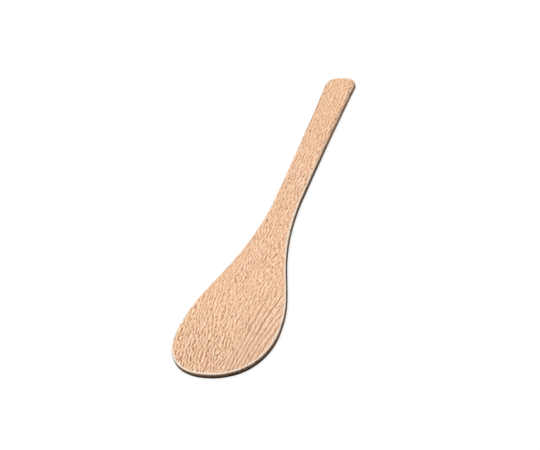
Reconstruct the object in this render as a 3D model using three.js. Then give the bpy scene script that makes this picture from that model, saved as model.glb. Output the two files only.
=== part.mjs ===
// Wooden spatula: one flat board, sawn to a paddle outline and sanded to eased edges.
// Millimetres, +Z up. The board lies on its lower face, the handle end points to +Y,
// and the origin is under the middle of the board.
import * as THREE from "three";

// The board.
const LENGTH = 300;
const THICKNESS = 4.5;
const EDGE_EASING = 1.5;

// The blade, from its tip to the line where the sides turn parallel.
const BLADE_WIDTH = 72;
const BLADE_LENGTH = 178;
const TIP_LENGTH = 40;
const TIP_FULLNESS = 0.62;
const SHOULDER_REACH = 45;
const NECK_REACH = 74;

// The handle, which widens a little towards its end.
const HANDLE_WIDTH = 19.5;
const HANDLE_END_WIDTH = 22;
const FLARE_LENGTH = 86;
const END_RADIUS = 29;
const END_CORNER_RADIUS = 7.5;

// How finely curves are cut into straight steps.
const CURVE_STEPS = 20;
const EASING_STEPS = 3;

// The right half of the outline, from the blade's tip to the middle of the handle's end.
function rightSide(tipY, endY) {
  const bladeHalf = BLADE_WIDTH / 2;
  const handleHalf = HANDLE_WIDTH / 2;
  const endHalf = HANDLE_END_WIDTH / 2;
  const widestY = tipY + TIP_LENGTH;
  const neckY = tipY + BLADE_LENGTH;
  const side = new THREE.Path().moveTo(0, tipY);

  // The rounded tip, up to the widest line.
  side.bezierCurveTo(
    bladeHalf * TIP_FULLNESS,
    tipY,
    bladeHalf,
    widestY - TIP_LENGTH * TIP_FULLNESS,
    bladeHalf,
    widestY,
  );

  // The shoulder and the neck are one long curve, parallel to the length at both ends.
  side.bezierCurveTo(
    bladeHalf,
    widestY + SHOULDER_REACH,
    handleHalf,
    neckY - NECK_REACH,
    handleHalf,
    neckY,
  );

  // The handle's side is straight, then flares to the corner.
  const cornerX = endHalf - END_CORNER_RADIUS;
  const cornerRise = Math.sqrt((END_RADIUS - END_CORNER_RADIUS) ** 2 - cornerX ** 2);
  const cornerY = endY - END_RADIUS + cornerRise;
  const flareY = endY - FLARE_LENGTH;
  side.lineTo(handleHalf, flareY);
  side.quadraticCurveTo(handleHalf, (flareY + cornerY) / 2, endHalf, cornerY);

  // The corner's arc runs into the shallow arc of the end.
  const turn = Math.atan2(cornerRise, cornerX);
  side.absarc(cornerX, cornerY, END_CORNER_RADIUS, 0, turn, false);
  side.absarc(0, endY - END_RADIUS, END_RADIUS, turn, Math.PI / 2, false);
  return side.getPoints(CURVE_STEPS);
}

// The whole outline: the right side, and its mirror image on the way back.
function boardOutline() {
  const right = rightSide(-LENGTH / 2, LENGTH / 2);
  const left = right.slice(1, -1).reverse().map(({ x, y }) => new THREE.Vector2(-x, y));
  return new THREE.Shape([...right, ...left]);
}

// The board is the outline at full thickness, with a quarter-round along both edges.
function boardGeometry() {
  return new THREE.ExtrudeGeometry(boardOutline(), {
    depth: THICKNESS - 2 * EDGE_EASING,
    bevelThickness: EDGE_EASING,
    bevelSize: EDGE_EASING,
    bevelOffset: -EDGE_EASING,
    bevelSegments: EASING_STEPS,
    steps: 1,
  }).translate(0, 0, EDGE_EASING);
}

const beech = new THREE.MeshStandardMaterial({
  color: 0xe9c39d,
  roughness: 0.62,
  metalness: 0,
});

const board = new THREE.Mesh(boardGeometry(), beech);
board.name = "spatula_board";

const spatula = new THREE.Group();
spatula.add(board);

export default spatula;
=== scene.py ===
"""A wooden spatula sawn from one beech board, lying on a pale studio floor.

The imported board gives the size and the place. This script lofts the same board with
sanded edges and a fine surface, dresses it in procedural beech, and sets the light and
the camera. Lengths are in metres, and in the layers of the beech in millimetres.
"""

import logging
import math
from dataclasses import dataclass
from enum import Enum
from functools import reduce
from itertools import accumulate
from typing import Any

import bpy
from mathutils import Color, Matrix, Vector


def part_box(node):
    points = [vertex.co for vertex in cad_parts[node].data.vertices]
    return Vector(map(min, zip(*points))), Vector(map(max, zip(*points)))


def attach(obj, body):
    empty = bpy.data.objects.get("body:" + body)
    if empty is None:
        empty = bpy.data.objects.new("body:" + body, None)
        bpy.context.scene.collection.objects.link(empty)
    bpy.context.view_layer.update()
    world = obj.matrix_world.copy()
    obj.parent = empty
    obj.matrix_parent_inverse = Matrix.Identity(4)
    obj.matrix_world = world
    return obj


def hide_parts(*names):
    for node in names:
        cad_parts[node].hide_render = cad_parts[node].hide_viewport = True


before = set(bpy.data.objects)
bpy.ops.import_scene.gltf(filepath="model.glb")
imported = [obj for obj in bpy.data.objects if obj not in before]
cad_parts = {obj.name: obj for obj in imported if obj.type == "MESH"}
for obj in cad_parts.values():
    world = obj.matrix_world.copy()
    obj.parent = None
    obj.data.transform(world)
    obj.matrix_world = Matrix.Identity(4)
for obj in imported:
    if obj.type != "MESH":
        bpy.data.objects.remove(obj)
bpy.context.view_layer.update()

MM = 0.001
BOARD_NODE = "spatula_board"
BODY = "root"
EASING_ATTRIBUTE = "easing"
BRIGHTEST = 255
SHORTEST_STEP = 1e-12
WHITE = (1.0, 1.0, 1.0, 1.0)

# The named inputs of the tree that lofts the board.
LOFT_INPUTS = {
    "Outline": "Geometry",
    "Thickness": "Float",
    "Edge Easing": "Float",
    "Spine Start": "Float",
    "Spine End": "Float",
    "Sanding Depth": "Float",
    "Sanding Waves": "Float",
    "Seed": "Float",
    "Finish": "Material",
}

log = logging.getLogger("spatula")

Socket = bpy.types.NodeSocket
Point = tuple[float, float]
Tone = tuple[float, float, float, float]


class Blend(Enum):
    """Ways in which one colour is laid over another."""

    MIX = "MIX"
    MULTIPLY = "MULTIPLY"


@dataclass(frozen=True)
class Fade:
    """A change from a first level to a last one, while a number runs over a range."""

    low: float
    high: float
    start: float = 0.0
    stop: float = 1.0
    smooth: bool = True


@dataclass(frozen=True)
class Band:
    """A band with soft sides: 0 outside it and 1 inside."""

    rise_from: float
    rise_to: float
    fall_from: float
    fall_to: float


@dataclass(frozen=True)
class Waves:
    """Noise that is drawn out along the grain, in waves to a millimetre."""

    across: float
    along: float
    detail: float
    seed: float
    roughness: float = 0.5


class Graph:
    """A node tree with short calls for the nodes that the trees here are made of."""

    # The Mix node's sockets for colours, by number, because their names are not unique.
    UNDER = 6
    OVER = 7
    MIXED = 2

    def __init__(self, tree: bpy.types.NodeTree) -> None:
        """Takes a tree to fill, and removes its nodes."""
        self.tree = tree
        self.tree.nodes.clear()

    def add(self, kind: str, inputs: dict[str | int, Any] | None = None, **settings: Any) -> bpy.types.Node:
        """Adds one node.

        Args:
            kind: The node's type name.
            inputs: Values or sockets for its inputs, by the input's name or number.
            settings: The node's own properties.

        Returns:
            The new node.
        """
        node = self.tree.nodes.new(kind)
        for name, value in settings.items():
            setattr(node, name, value)
        for key, value in (inputs or {}).items():
            self.feed(node.inputs[key], value)
        return node

    def change(self, kind: str, geometry: Socket, inputs: dict[str, Any] | None = None,
               **settings: Any) -> Socket:
        """Adds a node that changes a geometry, and returns what it makes of it."""
        return self.add(kind, {"Geometry": geometry, **(inputs or {})}, **settings).outputs[0]

    def feed(self, socket: Socket, value: Any) -> None:
        """Links a socket to another one, or sets its value.

        Args:
            socket: The input to feed.
            value: A socket to link from, or a plain value.
        """
        if isinstance(value, bpy.types.NodeSocket):
            self.tree.links.new(value, socket)
        else:
            socket.default_value = value

    def math(self, operation: str, *terms: Any, clamp: bool = False) -> Socket:
        """Adds a Math node.

        Args:
            operation: The sum to do, such as SINE.
            terms: Its numbers or sockets, in order.
            clamp: Whether the result is held between 0 and 1.

        Returns:
            The result.
        """
        inputs = dict(enumerate(terms))
        return self.add("ShaderNodeMath", inputs, operation=operation, use_clamp=clamp).outputs[0]

    def total(self, *terms: Any) -> Socket:
        """The sum of numbers or sockets, added in order."""
        return reduce(lambda so_far, term: self.math("ADD", so_far, term), terms)

    def product(self, *terms: Any) -> Socket:
        """The product of numbers or sockets, multiplied in order."""
        return reduce(lambda so_far, term: self.math("MULTIPLY", so_far, term), terms)

    def vector(self, operation: str, *terms: Any) -> Socket:
        """Adds a Vector Math node.

        Args:
            operation: The sum to do, such as SCALE.
            terms: Its vectors in order. SCALE takes its number as the second one.

        Returns:
            The resulting vector.
        """
        slots = [0, "Scale"] if operation == "SCALE" else range(len(terms))
        inputs = dict(zip(slots, terms))
        return self.add("ShaderNodeVectorMath", inputs, operation=operation).outputs["Vector"]

    def split(self, vector: Socket) -> tuple[Socket, Socket, Socket]:
        """The three coordinates of a vector."""
        node = self.add("ShaderNodeSeparateXYZ", {0: vector})
        return node.outputs[0], node.outputs[1], node.outputs[2]

    def join(self, x: Any, y: Any, z: Any) -> Socket:
        """The vector of three coordinates."""
        return self.add("ShaderNodeCombineXYZ", {0: x, 1: y, 2: z}).outputs[0]

    def fade(self, value: Socket, fade: Fade, start: Socket | None = None) -> Socket:
        """Maps a number by a fade, and holds the level at both ends.

        Args:
            value: The number that runs over the range.
            fade: The range and its levels.
            start: A socket that gives the first level in place of the fade's own.

        Returns:
            The level.
        """
        inputs = {
            "Value": value,
            "From Min": fade.low,
            "From Max": fade.high,
            "To Min": fade.start if start is None else start,
            "To Max": fade.stop,
        }
        interpolation = "SMOOTHSTEP" if fade.smooth else "LINEAR"
        return self.add("ShaderNodeMapRange", inputs, interpolation_type=interpolation).outputs["Result"]

    def band(self, value: Socket, band: Band) -> Socket:
        """How far inside a band a number is, from 0 to 1."""
        rise = self.fade(value, Fade(band.rise_from, band.rise_to))
        return self.product(rise, self.fade(value, Fade(band.fall_from, band.fall_to, 1.0, 0.0)))

    def noise(self, vector: Socket, detail: float, roughness: float, seed: Any) -> Socket:
        """Noise of about one wave to a unit of the vector, from 0 to 1.

        Args:
            vector: Where to read it.
            detail: How many finer waves are added.
            roughness: How strong the finer waves are.
            seed: Picks another pattern.

        Returns:
            The noise.
        """
        inputs = {"Vector": vector, "W": seed, "Scale": 1.0, "Detail": detail, "Roughness": roughness}
        return self.add("ShaderNodeTexNoise", inputs, noise_dimensions="4D").outputs[0]

    def waves(self, grain: Socket, waves: Waves) -> Socket:
        """Noise along the grain from 0 to 1, at coordinates in millimetres."""
        drawn_out = self.vector("MULTIPLY", grain, (waves.across, waves.along, waves.across))
        return self.noise(drawn_out, waves.detail, waves.roughness, waves.seed)

    def cells(self, vector: Socket) -> tuple[Socket, Socket]:
        """The distance to the nearest of some scattered points, and that point's random number."""
        node = self.add("ShaderNodeTexVoronoi", {"Vector": vector, "Scale": 1.0}, voronoi_dimensions="3D")
        return node.outputs["Distance"], self.split(node.outputs["Color"])[0]

    def mix(self, blend: Blend, share: Any, under: Any, over: Any) -> Socket:
        """Lays one colour over another.

        Args:
            blend: How it is laid.
            share: How much of it shows, from 0 to 1.
            under: The colour below.
            over: The colour laid on it.

        Returns:
            The mixed colour.
        """
        inputs = {"Factor": share, self.UNDER: under, self.OVER: over}
        node = self.add("ShaderNodeMix", inputs, data_type="RGBA", blend_type=blend.value)
        return node.outputs[self.MIXED]


def colour(red: int, green: int, blue: int) -> Tone:
    """Turns a screen colour, in levels from 0 to 255, into the linear one that shaders use."""
    screen = Color((red / BRIGHTEST, green / BRIGHTEST, blue / BRIGHTEST))
    return (*screen.from_srgb_to_scene_linear(), 1.0)


def place_object(name: str, data: bpy.types.ID) -> bpy.types.Object:
    """Makes an object and links it to the scene.

    Args:
        name: The object's name.
        data: Its mesh, light or camera.

    Returns:
        The object, at the origin.
    """
    made = bpy.data.objects.new(name, data)
    bpy.context.scene.collection.objects.link(made)
    return made


def arc(centre: Point, radius: float, start: float, stop: float, steps: int) -> list[Point]:
    """Points along an arc.

    Args:
        centre: The arc's centre.
        radius: Its radius.
        start: The angle that it starts at, in radians.
        stop: The angle that it ends at.
        steps: How many steps it is cut into.

    Returns:
        The points, both ends included.
    """
    angles = [start + (stop - start) * i / steps for i in range(steps + 1)]
    return [(centre[0] + radius * math.cos(a), centre[1] + radius * math.sin(a)) for a in angles]


def between(a: Point, b: Point, share: float) -> Point:
    """The point that is a share of the way from one point to another."""
    return (1 - share) * a[0] + share * b[0], (1 - share) * a[1] + share * b[1]


def bezier(controls: list[Point], steps: int) -> list[Point]:
    """Points along a Bezier curve of any degree.

    Args:
        controls: Its control points.
        steps: How many steps it is cut into.

    Returns:
        The points, both ends included.
    """
    points = []
    for i in range(steps + 1):
        level = controls
        while len(level) > 1:
            level = [between(a, b, i / steps) for a, b in zip(level, level[1:])]
        points.append(level[0])
    return points


def evenly(points: list[Point], count: int) -> list[Point]:
    """Walks a line of points in equal steps.

    Args:
        points: The line.
        count: How many steps to take.

    Returns:
        The points after each step, both ends included.
    """
    walked = [0.0]
    for a, b in zip(points, points[1:]):
        walked.append(walked[-1] + math.dist(a, b))
    found, leg = [], 0
    for i in range(count + 1):
        goal = walked[-1] * i / count
        while leg < len(points) - 2 and walked[leg + 1] < goal:
            leg += 1
        share = (goal - walked[leg]) / max(walked[leg + 1] - walked[leg], SHORTEST_STEP)
        found.append(between(points[leg], points[leg + 1], share))
    return found


@dataclass(frozen=True)
class PaddleOutline:
    """The outline that the board is sawn to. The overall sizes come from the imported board."""

    length: float
    blade_width: float
    blade_length: float = 178 * MM
    tip_length: float = 40 * MM
    tip_fullness: float = 0.62
    shoulder_reach: float = 45 * MM
    neck_reach: float = 74 * MM
    handle_width: float = 19.5 * MM
    handle_end_width: float = 22 * MM
    flare_length: float = 86 * MM
    end_radius: float = 29 * MM
    end_corner_radius: float = 7.5 * MM
    curve_steps: int = 60

    def right_side(self) -> list[Point]:
        """The right half of the outline, from the blade's tip to the middle of the handle's end.

        Returns:
            Points on the outline.
        """
        n = self.curve_steps
        tip_y, end_y = -self.length / 2, self.length / 2
        blade, handle, end = self.blade_width / 2, self.handle_width / 2, self.handle_end_width / 2
        widest_y, neck_y = tip_y + self.tip_length, tip_y + self.blade_length

        # The rounded tip, up to the widest line.
        tip_across = (blade * self.tip_fullness, tip_y)
        tip_along = (blade, widest_y - self.tip_length * self.tip_fullness)
        tip = bezier([(0, tip_y), tip_across, tip_along, (blade, widest_y)], n)

        # The shoulder and the neck are one long curve.
        shoulder = (blade, widest_y + self.shoulder_reach)
        neck = (handle, neck_y - self.neck_reach)
        flank = bezier([(blade, widest_y), shoulder, neck, (handle, neck_y)], n)

        # The handle's side flares to the corner of its end.
        corner_x = end - self.end_corner_radius
        corner_rise = math.sqrt((self.end_radius - self.end_corner_radius) ** 2 - corner_x**2)
        corner_y = end_y - self.end_radius + corner_rise
        flare_y = end_y - self.flare_length
        flare = bezier([(handle, flare_y), (handle, (flare_y + corner_y) / 2), (end, corner_y)], n)

        # The corner's arc runs into the shallow arc of the end.
        turn = math.atan2(corner_rise, corner_x)
        corner = arc((corner_x, corner_y), self.end_corner_radius, 0, turn, n)
        crown = arc((0, end_y - self.end_radius), self.end_radius, turn, math.pi / 2, n)
        return [*tip, *flank[1:], *flare, *corner[1:], *crown[1:]]

    def stations(self, count: int) -> list[Point]:
        """Stations round the whole outline, anticlockwise from the tip, alike on both sides.

        Args:
            count: How many stations, an even number.

        Returns:
            The stations, in equal steps.
        """
        right = evenly(self.right_side(), count // 2)
        right[0], right[-1] = (0.0, right[0][1]), (0.0, right[-1][1])
        left = [(-x, y) for x, y in reversed(right[1:-1])]
        return [*right, *left]


@dataclass(frozen=True)
class Grain:
    """How the fibres run: along the board, wandering a little, and leaning on the blade's right."""

    # The slope of the lean, which grows across the board, its pivot, and where it ends.
    lean: Fade = Fade(0.0, 30.0, 0.0, 0.19)
    lean_pivot: float = -90.0
    lean_end: float = -55.0
    wander: Waves = Waves(across=0.03, along=0.008, detail=1.0, seed=2.0)
    wander_shift: Fade = Fade(0.25, 0.75, -2.5, 2.5, smooth=False)
    strands: Waves = Waves(across=2.4, along=0.03, detail=2.0, seed=31.0)
    strand_slide: Fade = Fade(0.25, 0.75, -2.0, 2.0, smooth=False)

    def space(self, graph: Graph, place: Socket) -> Socket:
        """Coordinates in millimetres whose Y follows the grain.

        Each fibre slides along its neighbours by its own length, so that every mark laid
        in this space ends in points.

        Args:
            graph: The material's tree.
            place: Object coordinates in millimetres.

        Returns:
            The warped coordinates.
        """
        x, y, z = graph.split(place)
        run = graph.math("SUBTRACT", graph.math("MINIMUM", y, self.lean_end), self.lean_pivot)
        upright = graph.math("SUBTRACT", x, graph.product(graph.fade(x, self.lean), run))
        wander = graph.fade(graph.waves(place, self.wander), self.wander_shift)
        across = graph.total(upright, wander)
        strands = graph.waves(graph.join(across, y, z), self.strands)
        return graph.join(across, graph.total(y, graph.fade(strands, self.strand_slide)), z)


@dataclass(frozen=True)
class SlowTones:
    """Wide patches of rosier and yellower wood with fine fibres, a little darker at the tip."""

    rosy: Tone = colour(245, 197, 162)
    straw: Tone = colour(244, 198, 158)
    shade: Tone = colour(170, 111, 66)
    patches: Waves = Waves(across=0.09, along=0.02, detail=2.5, seed=5.0)
    straw_share: Fade = Fade(0.34, 0.66)
    fibres: Waves = Waves(across=4.5, along=0.55, detail=3.0, seed=37.0, roughness=0.6)
    fibre_share: Fade = Fade(0.42, 0.68, 0.0, 0.22)
    tip_share: Fade = Fade(-85.0, -145.0, 0.0, 0.12)

    def lay(self, graph: Graph, grain: Socket) -> Socket:
        """Makes the colour that the other layers lie on.

        Args:
            graph: The material's tree.
            grain: Coordinates along the grain.

        Returns:
            The colour.
        """
        _, along, _ = graph.split(grain)
        patches = graph.waves(grain, self.patches)
        tones = graph.mix(Blend.MIX, graph.fade(patches, self.straw_share), self.rosy, self.straw)
        fibres = graph.waves(grain, self.fibres)
        tones = graph.mix(Blend.MULTIPLY, graph.fade(fibres, self.fibre_share), tones, self.shade)
        return graph.mix(Blend.MULTIPLY, graph.fade(along, self.tip_share), tones, self.shade)


@dataclass(frozen=True)
class Dashes:
    """Rows of dark and light dashes along the grain, in small patches that are out of step."""

    dark: Tone = colour(128, 60, 0)
    light: Tone = colour(255, 235, 207)
    relief: float = 0.4

    # The rows: their distance apart, how they lean with depth and sway, and the patches.
    pitch: float = 2.4
    depth_lean: float = 0.7
    sway: Waves = Waves(across=0.22, along=0.05, detail=1.0, seed=17.0)
    sway_rows: float = 1.6
    patches_across: float = 0.2
    patches_along: float = 0.38

    # The parts of a row's wave, from -1 to 1, that are dark and light.
    dark_part: Fade = Fade(0.3, 0.95)
    light_part: Fade = Fade(-0.1, -0.95)

    # Where a row breaks into dashes, and where the wood is calm, less so towards the tip.
    breaks: Waves = Waves(across=0.6, along=1 / 1.1, detail=1.0, seed=21.0)
    break_share: Fade = Fade(0.42, 0.52)
    calm: Waves = Waves(across=0.11, along=0.045, detail=1.0, seed=41.0)
    calm_share: Fade = Fade(0.36, 0.56)
    calmest: Fade = Fade(-70.0, -125.0, 0.72, 1.0)

    # The fine fibres that fray the dashes, less so towards the tip.
    fine: Waves = Waves(across=3.0, along=0.75, detail=1.0, seed=43.0)
    dark_fray: Fade = Fade(0.4, 0.56)
    light_fray: Fade = Fade(0.6, 0.44)
    most_frayed: Fade = Fade(-70.0, -140.0, 0.52, 1.0)

    # How clear the dashes are along the board, and beside the growth lines.
    clear_along: Fade = Fade(-60.0, -120.0, 0.9, 1.0)
    clear_by_rings: Fade = Fade(0.0, 1.0, 1.0, 0.8)

    def lay(self, graph: Graph, grain: Socket, ringed: Socket, base: Socket) -> tuple[Socket, Socket]:
        """Lays the dashes.

        Args:
            graph: The material's tree.
            grain: Coordinates along the grain.
            ringed: How clearly the growth lines show, from 0 to 1.
            base: The colour below.

        Returns:
            The colour, and the height of the fibres.
        """
        _, along, _ = graph.split(grain)
        wave = self.rows(graph, grain)
        strength = self.strength(graph, grain, ringed)
        fine = graph.waves(grain, self.fine)
        frayed = graph.fade(along, self.most_frayed)

        dark_fibres = graph.fade(fine, self.dark_fray, start=frayed)
        dark = graph.product(graph.fade(wave, self.dark_part), dark_fibres, strength)
        light_fibres = graph.fade(fine, self.light_fray, start=frayed)
        light = graph.product(graph.fade(wave, self.light_part), light_fibres, strength)
        base = graph.mix(Blend.MIX, dark, base, self.dark)
        base = graph.mix(Blend.MIX, light, base, self.light)
        return base, graph.product(graph.math("SUBTRACT", light, dark), self.relief)

    def rows(self, graph: Graph, grain: Socket) -> Socket:
        """A wave across the rows, whose phase is each patch's own.

        Args:
            graph: The material's tree.
            grain: Coordinates along the grain.

        Returns:
            The wave, from -1 to 1.
        """
        x, _, z = graph.split(grain)
        leaning = graph.total(x, graph.product(z, self.depth_lean))
        sway = graph.product(graph.waves(grain, self.sway), self.sway_rows)
        patch_size = (self.patches_across, self.patches_along, self.patches_across)
        _, phase = graph.cells(graph.vector("MULTIPLY", grain, patch_size))
        row = graph.total(graph.product(leaning, 1 / self.pitch), sway, phase)
        return graph.math("SINE", graph.product(row, math.tau))

    def strength(self, graph: Graph, grain: Socket, ringed: Socket) -> Socket:
        """How strong the dashes are.

        Args:
            graph: The material's tree.
            grain: Coordinates along the grain.
            ringed: How clearly the growth lines show, from 0 to 1.

        Returns:
            The strength, from 0 to 1.
        """
        _, along, _ = graph.split(grain)
        breaks = graph.fade(graph.waves(grain, self.breaks), self.break_share)
        calmest = graph.fade(along, self.calmest)
        calm = graph.fade(graph.waves(grain, self.calm), self.calm_share, start=calmest)
        clear = graph.product(graph.fade(along, self.clear_along), graph.fade(ringed, self.clear_by_rings))
        return graph.product(breaks, calm, clear)


@dataclass(frozen=True)
class GrowthLines:
    """Thin dark lines, each with a paler band beside it, where the board cuts the growth rings."""

    dark: Tone = colour(128, 60, 0)
    pale: Tone = colour(255, 235, 207)
    dark_strength: float = 0.95
    pale_strength: float = 0.31

    # The rings: their distance apart, how they lean with depth and wobble.
    pitch: float = 4.1
    depth_lean: float = 0.1
    wobble: Waves = Waves(across=0.12, along=0.01, detail=2.0, seed=9.0)
    wobble_rings: float = 0.9

    # The parts of a ring, from 0 to 1, that are the line and the paler band.
    line: Band = Band(0.79, 0.86, 0.9, 0.97)
    pale_band: Band = Band(0.0, 0.2, 0.2, 0.6)

    # Where the lines break off, and where on the board they are clear.
    breaks: Waves = Waves(across=0.5, along=0.018, detail=2.0, seed=13.0)
    break_share: Fade = Fade(0.18, 0.38)
    clear_across: Fade = Fade(6.0, 16.0, 0.03, 1.0)
    clear_along: Fade = Fade(-58.0, -88.0, 0.06, 1.0)

    def clear(self, graph: Graph, grain: Socket) -> Socket:
        """How clearly the lines show, from 0 to 1: best on the blade's right, towards the tip."""
        across, along, _ = graph.split(grain)
        return graph.product(graph.fade(across, self.clear_across), graph.fade(along, self.clear_along))

    def lay(self, graph: Graph, grain: Socket, ringed: Socket, base: Socket) -> tuple[Socket, Socket]:
        """Lays the lines and their paler bands.

        Args:
            graph: The material's tree.
            grain: Coordinates along the grain.
            ringed: How clearly the lines show, from 0 to 1.
            base: The colour below.

        Returns:
            The colour, and how strong the lines are at each point.
        """
        x, _, z = graph.split(grain)
        wobble = graph.product(graph.waves(grain, self.wobble), self.wobble_rings)
        ring = graph.total(graph.product(x, 1 / self.pitch), graph.product(z, self.depth_lean), wobble)
        phase = graph.math("FRACT", ring)
        breaks = graph.fade(graph.waves(grain, self.breaks), self.break_share)
        shown = graph.product(ringed, breaks)
        line = graph.product(graph.band(phase, self.line), shown)
        pale = graph.product(graph.band(phase, self.pale_band), shown, self.pale_strength)
        base = graph.mix(Blend.MIX, pale, base, self.pale)
        return graph.mix(Blend.MIX, graph.product(line, self.dark_strength), base, self.dark), line


@dataclass(frozen=True)
class FleckLayer:
    """One kind of the short marks that run along the grain of beech. Sizes in millimetres."""

    spacing: float
    length: float
    core: float
    reach: float
    on_handle: float
    on_blade: float
    rarity: float
    tone: Tone
    seed: float

    def lay(self, graph: Graph, grain: Socket, blade: Socket, base: Socket) -> tuple[Socket, Socket]:
        """Lays the flecks.

        Args:
            graph: The material's tree.
            grain: Coordinates along the grain.
            blade: 0 on the handle and 1 on the blade.
            base: The colour below.

        Returns:
            The colour, and how strong the flecks are at each point.
        """
        size = (1 / self.spacing, 1 / self.length, 1 / self.spacing)
        shift = (self.seed, self.seed, self.seed)
        distance, chance = graph.cells(graph.vector("ADD", graph.vector("MULTIPLY", grain, size), shift))
        spot = graph.fade(distance, Fade(self.core, self.reach, 1.0, 0.0))
        strength = graph.fade(blade, Fade(0.0, 1.0, self.on_handle, self.on_blade))
        mark = graph.product(spot, graph.math("POWER", chance, self.rarity), strength)
        return graph.mix(Blend.MIX, mark, base, self.tone), mark


@dataclass(frozen=True)
class BoardEdges:
    """The board's edges: a pale painted highlight, partly wear, along the top, and painted shade on the
    side, darkest low down, unevenly.
    """

    # A pale painted highlight, partly wear, for the upper edge.
    highlight_and_wear: Tone = colour(255, 243, 226)
    # The tone of a darker line along the grip's edges.
    grip_line_tone: Tone = colour(128, 60, 0)
    # The dark tone of the painted shade on the side, darkest low down.
    side_shade_tone: Tone = colour(70, 57, 44)
    end_grain: Tone = colour(196, 192, 184)

    # How much further round the edge a point counts, in patches and in the neck's hollow.
    patches: Waves = Waves(across=0.3, along=0.08, detail=3.0, seed=29.0)
    patch_shift: Fade = Fade(0.3, 0.7, -0.05, 0.05)
    hollow_facing: Band = Band(0.05, 0.3, 0.55, 0.8)
    hollow_shift: float = 0.12

    # The pale edge, a painted highlight and partly wear, by the way round the edge, the height and the
    # place along the board.
    highlight_and_wear_part: Band = Band(0.05, 0.25, 0.74, 0.86)
    highlight_wear_height: Fade = Fade(1.5, 2.5)
    highlight_wear_along: Fade = Fade(95.0, 0.0, 0.25, 0.85)

    # A darker line along the grip's edges, just in from the faces.
    grip_line: Band = Band(0.06, 0.22, 0.3, 0.5)
    grip_line_along: Fade = Fade(45.0, 110.0, 0.0, 0.6)

    # Painted shade on the side: darkest low down, as a contact shadow, and lighter above; on the grip only
    # low down.
    side: Fade = Fade(0.68, 0.82)
    grip_along: Fade = Fade(45.0, 110.0)
    blade_height: Fade = Fade(1.3, 3.0, 1.0, 0.35)
    grip_height: Fade = Fade(0.7, 1.5, 1.0, 0.0)
    grip_low_height: Fade = Fade(0.7, 1.4, 1.0, 0.0)
    # Painted shade over the whole side in the neck's hollow.
    hollow_shade: float = 0.95
    end_facing: Fade = Fade(0.55, 0.95)

    def lay(self, graph: Graph, grain: Socket, base: Socket) -> tuple[Socket, Socket]:
        """Lays the pale painted highlight, partly wear, and the painted shade on the sides.

        Args:
            graph: The material's tree.
            grain: Coordinates along the grain.
            base: The colour of the faces.

        Returns:
            The colour, and how far round the edge each point is.
        """
        easing = graph.add("ShaderNodeAttribute", attribute_name=EASING_ATTRIBUTE).outputs["Fac"]
        patchy = graph.fade(graph.waves(grain, self.patches), self.patch_shift)
        _, facing, _ = graph.split(graph.add("ShaderNodeTexCoord").outputs["Normal"])
        hollow = graph.band(facing, self.hollow_facing)
        turned = graph.total(easing, patchy, graph.product(hollow, self.hollow_shift))
        # A pale painted highlight, partly wear, on the upper edge.
        base = self.lay_highlight_and_wear(graph, grain, turned, base)
        # Painted shade on the side, darkest low down as a contact shadow.
        side_shade, grip = self.side_shade(graph, grain, turned, hollow)
        base = graph.mix(Blend.MULTIPLY, side_shade, base, self.side_shade_tone)

        # The grip's lower edge gets the painted shade twice, as a contact shadow, and the ends are greyer
        # end grain where the side shade is painted.
        _, _, height = graph.split(grain)
        low = graph.product(grip, side_shade, graph.fade(height, self.grip_low_height))
        base = graph.mix(Blend.MULTIPLY, low, base, self.side_shade_tone)
        ends = graph.product(graph.fade(graph.math("ABSOLUTE", facing), self.end_facing), side_shade)
        return graph.mix(Blend.MULTIPLY, ends, base, self.end_grain), easing

    def lay_highlight_and_wear(self, graph: Graph, grain: Socket, turned: Socket, base: Socket) -> Socket:
        """Lays the pale painted highlight, partly wear, on the upper edge, and the darker lines along the
        grip's edges.

        Args:
            graph: The material's tree.
            grain: Coordinates along the grain.
            turned: How far round the edge each point counts.
            base: The colour below.

        Returns:
            The colour.
        """
        _, along, height = graph.split(grain)
        on_top = graph.fade(height, self.highlight_wear_height)
        highlight_and_wear_part = graph.product(graph.band(turned, self.highlight_and_wear_part), on_top, graph.fade(along, self.highlight_wear_along))
        grip_line = graph.product(graph.band(turned, self.grip_line), graph.fade(along, self.grip_line_along))
        # Painted highlight, partly wear, on the upper rounding.
        base = graph.mix(Blend.MIX, highlight_and_wear_part, base, self.highlight_and_wear)
        return graph.mix(Blend.MIX, grip_line, base, self.grip_line_tone)

    def side_shade(self, graph: Graph, grain: Socket, turned: Socket, hollow: Socket) -> tuple[Socket, Socket]:
        """How much painted shade the side gets.

        Args:
            graph: The material's tree.
            grain: Coordinates along the grain.
            turned: How far round the edge each point counts.
            hollow: 1 in the hollow curve of the neck, where the whole side gets painted shade.

        Returns:
            The painted shade from 0 to 1, and a level that is 1 on the grip.
        """
        _, along, height = graph.split(grain)
        grip = graph.fade(along, self.grip_along)
        on_blade = graph.fade(height, self.blade_height)
        on_blade = graph.math("MAXIMUM", on_blade, graph.product(hollow, self.hollow_shade))
        on_grip = graph.fade(height, self.grip_height)
        change = graph.product(grip, graph.math("SUBTRACT", on_grip, on_blade))
        return graph.product(graph.fade(turned, self.side), graph.total(on_blade, change)), grip


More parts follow.
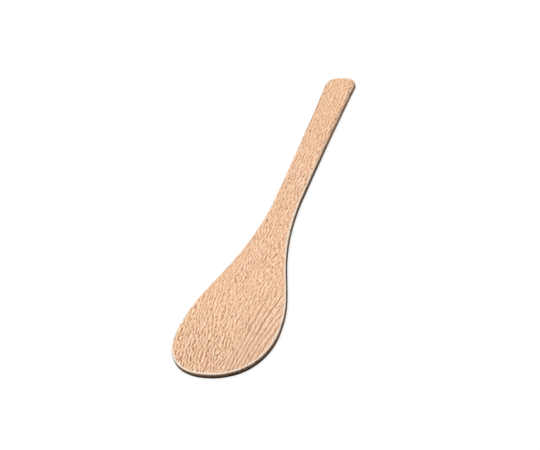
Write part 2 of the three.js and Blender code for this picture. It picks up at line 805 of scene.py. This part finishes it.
@dataclass(frozen=True)
class BeechFinish:
    """Sanded, unvarnished beech, laid in layers from the slow tones up to the edges."""

    name: str = "sanded_beech"
    grain: Grain = Grain()
    tones: SlowTones = SlowTones()
    dashes: Dashes = Dashes()
    growth_lines: GrowthLines = GrowthLines()
    edges: BoardEdges = BoardEdges()
    blade_along: Fade = Fade(5.0, -70.0)
    flecks: tuple[FleckLayer, ...] = (
        FleckLayer(
            spacing=0.75, length=2.8, core=0.14, reach=0.42, on_handle=0.6, on_blade=0.6,
            rarity=1.1, tone=colour(166, 101, 42), seed=3.0),
        FleckLayer(
            spacing=0.8, length=2.0, core=0.16, reach=0.44, on_handle=0.9, on_blade=0.4,
            rarity=1.0, tone=colour(172, 109, 50), seed=11.0),
        FleckLayer(
            spacing=0.8, length=2.8, core=0.16, reach=0.42, on_handle=0.8, on_blade=0.5,
            rarity=1.1, tone=colour(255, 239, 210), seed=23.0),
    )

    # The surface: its roughness and what changes it, its relief, and how it shines.
    roughness: float = 0.58
    uneven: Waves = Waves(across=1 / 14, along=1 / 14, detail=3.0, seed=7.0)
    uneven_roughness: Fade = Fade(0.3, 0.7, -0.06, 0.06)
    line_smoothness: float = 0.05
    edge_roughness: float = 0.08
    fleck_depth: float = 0.5
    relief_strength: float = 0.35
    relief_depth: float = 0.06
    refraction: float = 1.45
    shine: float = 0.2

    def material(self) -> bpy.types.Material:
        """Builds the material.

        Returns:
            The material, which reads Object coordinates and the board's easing attribute.
        """
        made = bpy.data.materials.new(self.name)
        made.use_nodes = True
        graph = Graph(made.node_tree)
        place = graph.vector("SCALE", graph.add("ShaderNodeTexCoord").outputs["Object"], 1 / MM)
        grain = self.grain.space(graph, place)
        _, along, _ = graph.split(grain)
        blade = graph.fade(along, self.blade_along)
        ringed = self.growth_lines.clear(graph, grain)

        base = self.tones.lay(graph, grain)
        base, relief = self.dashes.lay(graph, grain, ringed, base)
        base, lines = self.growth_lines.lay(graph, grain, ringed, base)
        for layer in self.flecks:
            base, mark = layer.lay(graph, grain, blade, base)
            relief = graph.math("SUBTRACT", relief, graph.product(mark, self.fleck_depth))
        base, easing = self.edges.lay(graph, grain, base)

        bump = graph.add("ShaderNodeBump", {
            "Strength": self.relief_strength,
            "Distance": self.relief_depth * MM,
            "Height": relief,
        })
        shader = graph.add("ShaderNodeBsdfPrincipled", {
            "Base Color": base,
            "Roughness": self.rough(graph, place, lines, easing),
            "Normal": bump.outputs[0],
            "IOR": self.refraction,
            "Specular IOR Level": self.shine,
        })
        graph.add("ShaderNodeOutputMaterial", {"Surface": shader.outputs[0]})
        return made

    def rough(self, graph: Graph, place: Socket, lines: Socket, easing: Socket) -> Socket:
        """Roughness that varies slowly, smoother on the growth lines and rougher round the edge.

        Args:
            graph: The material's tree.
            place: Object coordinates in millimetres.
            lines: How strong the growth lines are at each point.
            easing: How far round the edge each point is.

        Returns:
            The roughness.
        """
        uneven = graph.fade(graph.waves(place, self.uneven), self.uneven_roughness)
        rough = graph.total(uneven, self.roughness)
        rough = graph.math("SUBTRACT", rough, graph.product(lines, self.line_smoothness))
        return graph.math("ADD", rough, graph.product(easing, self.edge_roughness), clamp=True)


@dataclass(frozen=True)
class BoardLoft:
    """Geometry Nodes that loft an outline into a board with quarter-round edges."""

    stations: int = 480
    face_rows: int = 18
    easing_rows: int = 6
    side_rows: int = 3
    sheet_size: float = 1.0
    merge_distance: float = 0.01 * MM
    sanding_detail: float = 2.0
    sanding_roughness: float = 0.5
    sanding_share: Fade = Fade(0.3, 0.7)

    def tree(self) -> bpy.types.NodeTree:
        """Builds the node tree.

        A sheet of stations and rows is wrapped round the outline. Each station's rows run
        from the spine out over the lower face, round the edge and back in over the upper
        face, and the seams are merged.

        Returns:
            The tree, whose inputs are the outline, the sizes, the seed and the material.
        """
        tree = bpy.data.node_groups.new("board_loft", "GeometryNodeTree")
        for name, kind in LOFT_INPUTS.items():
            tree.interface.new_socket(name, in_out="INPUT", socket_type=f"NodeSocket{kind}")
        tree.interface.new_socket("Board", in_out="OUTPUT", socket_type="NodeSocketGeometry")
        graph = Graph(tree)
        given = graph.add("NodeGroupInput").outputs
        sheet, station, row = self.sheet(graph)
        position, easing = self.wrap(graph, given, station, row)

        mark = {"Name": EASING_ATTRIBUTE, "Value": easing}
        board = graph.change(
            "GeometryNodeStoreNamedAttribute", sheet, mark, data_type="FLOAT", domain="POINT")
        board = graph.change("GeometryNodeSetPosition", board, {"Position": position})
        board = graph.change("GeometryNodeMergeByDistance", board, {"Distance": self.merge_distance})
        board = self.sand(graph, given, board)
        board = graph.change("GeometryNodeSetShadeSmooth", board)
        board = graph.change("GeometryNodeRealizeInstances", board)
        board = graph.change("GeometryNodeSetMaterial", board, {"Material": given["Finish"]})
        graph.add("NodeGroupOutput", {"Board": board})
        return tree

    def sheet(self, graph: Graph) -> tuple[Socket, Socket, Socket]:
        """A flat sheet of stations and rows.

        Args:
            graph: The loft's tree.

        Returns:
            The sheet, each point's station number, and each point's row number.
        """
        rows = 2 * (self.face_rows + self.easing_rows) + self.side_rows
        grid = graph.add("GeometryNodeMeshGrid", {
            "Size X": self.sheet_size,
            "Size Y": self.sheet_size,
            "Vertices X": self.stations + 1,
            "Vertices Y": rows + 1,
        })
        x, y, _ = graph.split(graph.add("GeometryNodeInputPosition").outputs[0])
        half = self.sheet_size / 2
        station = graph.math("ROUND", graph.product(graph.total(x, half), self.stations / self.sheet_size))
        row = graph.product(graph.total(y, half), rows / self.sheet_size)
        return grid.outputs["Mesh"], station, row

    def outline_point(self, graph: Graph, outline: Socket, station: Socket, ahead: int) -> Socket:
        """Where the outline is at a station, or at one near it.

        Args:
            graph: The loft's tree.
            outline: The outline's points.
            station: The station's number.
            ahead: How many stations further on.

        Returns:
            The point.
        """
        count = float(self.stations)
        number = graph.math("MODULO", graph.total(station, count + ahead), count)
        index = graph.add("FunctionNodeFloatToInt", {0: number}, rounding_mode="ROUND").outputs[0]
        place = graph.add("GeometryNodeInputPosition").outputs[0]
        inputs = {"Geometry": outline, "Value": place, "Index": index}
        sample = graph.add("GeometryNodeSampleIndex", inputs, data_type="FLOAT_VECTOR", domain="POINT")
        return sample.outputs[0]

    def section(self, graph: Graph, given: Any, row: Socket) -> tuple[Socket, Socket, Socket]:
        """The board's section, row by row.

        Args:
            graph: The loft's tree.
            given: The tree's inputs.
            row: Each point's row.

        Returns:
            How far out over a face a row is, from 0 at the spine to 1 at the edge; how far
            round the edge it is, from 0 on a face to 1 on the side; and its height.
        """
        counts = (self.face_rows, self.easing_rows, self.side_rows, self.easing_rows, self.face_rows)
        ends = [0, *accumulate(counts)]
        legs = [graph.fade(row, Fade(a, b, smooth=False)) for a, b in zip(ends, ends[1:])]
        lower, below, side, above, upper = legs
        spread = graph.math("SUBTRACT", lower, upper)

        low_turn = graph.product(below, math.pi / 2)
        high_turn = graph.product(above, math.pi / 2)
        both = graph.total(graph.math("SINE", low_turn), graph.math("COSINE", high_turn))
        easing = graph.math("SUBTRACT", both, 1.0)

        radius, thickness = given["Edge Easing"], given["Thickness"]
        rise = graph.total(graph.math("SINE", high_turn), 1.0)
        lift = graph.math("SUBTRACT", rise, graph.math("COSINE", low_turn))
        straight = graph.math("SUBTRACT", thickness, graph.product(radius, 2.0))
        return spread, easing, graph.total(graph.product(radius, lift), graph.product(straight, side))

    def wrap(self, graph: Graph, given: Any, station: Socket, row: Socket) -> tuple[Socket, Socket]:
        """Where each point of the sheet lies on the board.

        Args:
            graph: The loft's tree.
            given: The tree's inputs.
            station: Each point's station.
            row: Each point's row.

        Returns:
            The place, and how far round the edge it is, from 0 on a face to 1 on the side.
        """
        spread, easing, height = self.section(graph, given, row)
        outline, radius = given["Outline"], given["Edge Easing"]
        here = self.outline_point(graph, outline, station, 0)
        ahead = self.outline_point(graph, outline, station, 1)
        behind = self.outline_point(graph, outline, station, -1)
        along = graph.vector("NORMALIZE", graph.vector("SUBTRACT", ahead, behind))
        along_x, along_y, _ = graph.split(along)
        outward = graph.join(along_y, graph.product(along_x, -1.0), 0.0)

        inner = graph.vector("SUBTRACT", here, graph.vector("SCALE", outward, radius))
        _, inner_y, _ = graph.split(inner)
        held = graph.math("MINIMUM", inner_y, given["Spine End"])
        held = graph.math("MAXIMUM", held, given["Spine Start"])
        spine = graph.join(0.0, held, 0.0)
        over_face = graph.vector("SCALE", graph.vector("SUBTRACT", inner, spine), spread)
        round_edge = graph.vector("SCALE", outward, graph.product(radius, easing))
        flat = graph.vector("ADD", graph.vector("ADD", spine, over_face), round_edge)
        return graph.vector("ADD", flat, graph.join(0.0, 0.0, height)), easing

    def sand(self, graph: Graph, given: Any, board: Socket) -> Socket:
        """Shallow unevenness that hand sanding leaves, always into the wood.

        Args:
            graph: The loft's tree.
            given: The tree's inputs.
            board: The closed board.

        Returns:
            The sanded board.
        """
        place = graph.add("GeometryNodeInputPosition").outputs[0]
        waves = graph.vector("SCALE", place, given["Sanding Waves"])
        noise = graph.noise(waves, self.sanding_detail, self.sanding_roughness, given["Seed"])
        uneven = graph.fade(noise, self.sanding_share)
        depth = graph.product(uneven, given["Sanding Depth"], -1.0)
        normal = graph.add("GeometryNodeInputNormal").outputs[0]
        inward = graph.vector("SCALE", normal, depth)
        return graph.change("GeometryNodeSetPosition", board, {"Offset": inward})


@dataclass
class Spatula:
    """The whole spatula: one board with a blade, a neck and a handle."""

    low: Vector
    high: Vector
    edge_easing: float = 1.5 * MM
    spine_from_tip: float = 34 * MM
    spine_from_end: float = 11 * MM
    sanding_depth: float = 0.12 * MM
    sanding_waves: float = 45.0
    seed: float = 4.0
    loft: BoardLoft = BoardLoft()
    finish: BeechFinish = BeechFinish()

    def build(self) -> bpy.types.Object:
        """Lofts the board and dresses it.

        Returns:
            The board as a plain mesh object at the origin.
        """
        size = self.high - self.low
        outline = PaddleOutline(length=size.y, blade_width=size.x)
        wire = self.wire(outline.stations(self.loft.stations))
        values = {
            "Thickness": size.z,
            "Edge Easing": self.edge_easing,
            "Spine Start": self.low.y + self.spine_from_tip,
            "Spine End": self.high.y - self.spine_from_end,
            "Sanding Depth": self.sanding_depth,
            "Sanding Waves": self.sanding_waves,
            "Seed": self.seed,
            "Finish": self.finish.material(),
        }
        board = self.lofted(wire, values)
        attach(board, BODY)
        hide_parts(BOARD_NODE)
        return board

    def wire(self, stations: list[Point]) -> bpy.types.Object:
        """The outline as a closed wire.

        Args:
            stations: Points round the outline.

        Returns:
            An object that holds the wire.
        """
        mesh = bpy.data.meshes.new("outline_wire")
        count = len(stations)
        edges = [(i, (i + 1) % count) for i in range(count)]
        mesh.from_pydata([(x, y, 0.0) for x, y in stations], edges, [])
        return place_object("outline_wire", mesh)

    def lofted(self, wire: bpy.types.Object, values: dict[str, Any]) -> bpy.types.Object:
        """Runs the loft on the wire and keeps the result as a plain mesh.

        Args:
            wire: The outline's wire, which is removed.
            values: The loft's inputs by name.

        Returns:
            The board.
        """
        tree = self.loft.tree()
        modifier = wire.modifiers.new("loft", "NODES")
        modifier.node_group = tree
        sockets = {s.name: s.identifier for s in tree.interface.items_tree if s.in_out == "INPUT"}
        for name, value in values.items():
            modifier[sockets[name]] = value
        depsgraph = bpy.context.evaluated_depsgraph_get()
        mesh = bpy.data.meshes.new_from_object(wire.evaluated_get(depsgraph), depsgraph=depsgraph)
        mesh.name = "beech_board"
        bpy.data.objects.remove(wire)
        return place_object("beech_board", mesh)


@dataclass(frozen=True)
class PhotoView:
    """Where the photograph was taken from, as a turn round the board and a roll of the camera."""

    azimuth: float = math.radians(29.28)
    elevation: float = math.radians(37.72)
    roll: float = math.radians(-17.93)
    distance: float = 2.5
    pixels_per_metre: float = 1502.5
    image_width: int = 540
    image_height: int = 450
    origin_pixel: Point = (279.39, 224.79)
    sensor_width: float = 36.0
    nearest: float = 0.05
    farthest: float = 50.0

    def camera(self) -> bpy.types.Object:
        """Makes the camera.

        Returns:
            The camera, which is the scene's own.
        """
        level = math.cos(self.elevation)
        back_x = math.sin(self.azimuth) * level
        back_y = -math.cos(self.azimuth) * level
        back = Vector((back_x, back_y, math.sin(self.elevation)))
        level_right = Vector((math.cos(self.azimuth), math.sin(self.azimuth), 0.0))
        level_up = back.cross(level_right)
        right = level_right * math.cos(self.roll) + level_up * math.sin(self.roll)
        up = back.cross(right)
        aside = (self.image_width / 2 - self.origin_pixel[0]) / self.pixels_per_metre
        above = (self.origin_pixel[1] - self.image_height / 2) / self.pixels_per_metre

        data = bpy.data.cameras.new("photo_view")
        data.sensor_width = self.sensor_width
        data.lens = self.pixels_per_metre * self.distance / self.image_width * self.sensor_width
        data.clip_start = self.nearest
        data.clip_end = self.farthest
        made = place_object("photo_view", data)
        turn = Matrix((right, up, back)).transposed().to_4x4()
        made.matrix_world = Matrix.Translation(back * self.distance + right * aside + up * above) @ turn
        bpy.context.scene.camera = made
        return made


@dataclass(frozen=True)
class Softbox:
    """A far, wide, soft lamp."""

    name: str
    towards: tuple[float, float, float]
    level: float
    spread: float

    def light(self) -> bpy.types.Object:
        """Makes the lamp.

        Returns:
            The lamp, at which a level of 1 shows a white face that looks up as white.
        """
        direction = Vector(self.towards).normalized()
        data = bpy.data.lights.new(self.name, "SUN")
        data.energy = math.pi * self.level / direction.z
        data.angle = self.spread
        made = place_object(self.name, data)
        made.rotation_mode = "QUATERNION"
        made.rotation_quaternion = direction.to_track_quat("Z", "Y")
        return made


@dataclass(frozen=True)
class Studio:
    """The pale floor, the soft light round it and the camera."""

    key: Softbox = Softbox(
        name="key_softbox", towards=(-0.15, 0.04, 0.98), level=0.73, spread=math.radians(35))
    sky_zenith: float = 0.45
    sky_horizon: float = 0.04
    floor_size: float = 12.0
    floor_gap: float = 0.05 * MM
    floor_shown: float = 0.2
    floor_lift: float = 0.82
    floor_bounce: float = 0.14
    view: PhotoView = PhotoView()

    def build(self) -> None:
        """Makes the world, the floor, the light and the camera."""
        scene = bpy.context.scene
        scene.view_settings.view_transform = "Standard"
        self.world(scene)
        self.floor()
        self.key.light()
        self.view.camera()

    def shown_directly(self, graph: Graph) -> Socket:
        """1 for rays that show a thing directly or in a reflection, and 0 for rays that light others.

        Args:
            graph: The tree that asks.

        Returns:
            The switch.
        """
        path = graph.add("ShaderNodeLightPath").outputs
        shown = graph.math("MAXIMUM", path["Is Camera Ray"], path["Is Glossy Ray"])
        return graph.math("MAXIMUM", shown, path["Is Transmission Ray"])

    def world(self, scene: bpy.types.Scene) -> None:
        """A sky that lights from above, dim at the horizon, and shows as white.

        Args:
            scene: The scene to give it to.
        """
        made = bpy.data.worlds.new("studio_sky")
        made.use_nodes = True
        graph = Graph(made.node_tree)
        _, _, height = graph.split(graph.add("ShaderNodeTexCoord").outputs["Generated"])
        lit = graph.fade(height, Fade(0.0, 1.0, self.sky_horizon, self.sky_zenith, smooth=False))
        strength = graph.math("MAXIMUM", lit, self.shown_directly(graph))
        sky = graph.add("ShaderNodeBackground", {"Color": WHITE, "Strength": strength})
        graph.add("ShaderNodeOutputWorld", {"Surface": sky.outputs[0]})
        scene.world = made

    def floor(self) -> bpy.types.Object:
        """A wide pale floor just under the board, which takes its shadow.

        Returns:
            The floor.
        """
        half = self.floor_size / 2
        mesh = bpy.data.meshes.new("studio_floor")
        corners = [(-half, -half), (half, -half), (half, half), (-half, half)]
        mesh.from_pydata([(x, y, -self.floor_gap) for x, y in corners], [], [(0, 1, 2, 3)])
        made = place_object("studio_floor", mesh)
        mesh.materials.append(self.floor_paint())
        return made

    def floor_paint(self) -> bpy.types.Material:
        """Pale paint that shows as white in the open and keeps the shadow.

        Returns:
            The material.
        """
        made = bpy.data.materials.new("pale_floor")
        made.use_nodes = True
        graph = Graph(made.node_tree)
        shown = self.shown_directly(graph)
        level = graph.fade(shown, Fade(0.0, 1.0, self.floor_bounce, self.floor_shown, smooth=False))
        paint = graph.add("ShaderNodeBsdfDiffuse", {"Color": graph.join(level, level, level)})
        lift = graph.product(shown, self.floor_lift)
        glow = graph.add("ShaderNodeEmission", {"Color": WHITE, "Strength": lift})
        both = graph.add("ShaderNodeAddShader", {0: paint.outputs[0], 1: glow.outputs[0]})
        graph.add("ShaderNodeOutputMaterial", {"Surface": both.outputs[0]})
        return made


def main() -> None:
    """Builds the studio and the spatula, and reports each piece."""
    logging.basicConfig(level=logging.INFO, format="%(name)s: %(message)s")
    Studio().build()
    low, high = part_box(BOARD_NODE)
    board = Spatula(low, high).build()
    log.info("%s: %d faces for %s", board.name, len(board.data.polygons), BOARD_NODE)


if __name__ == "__main__":
    main()
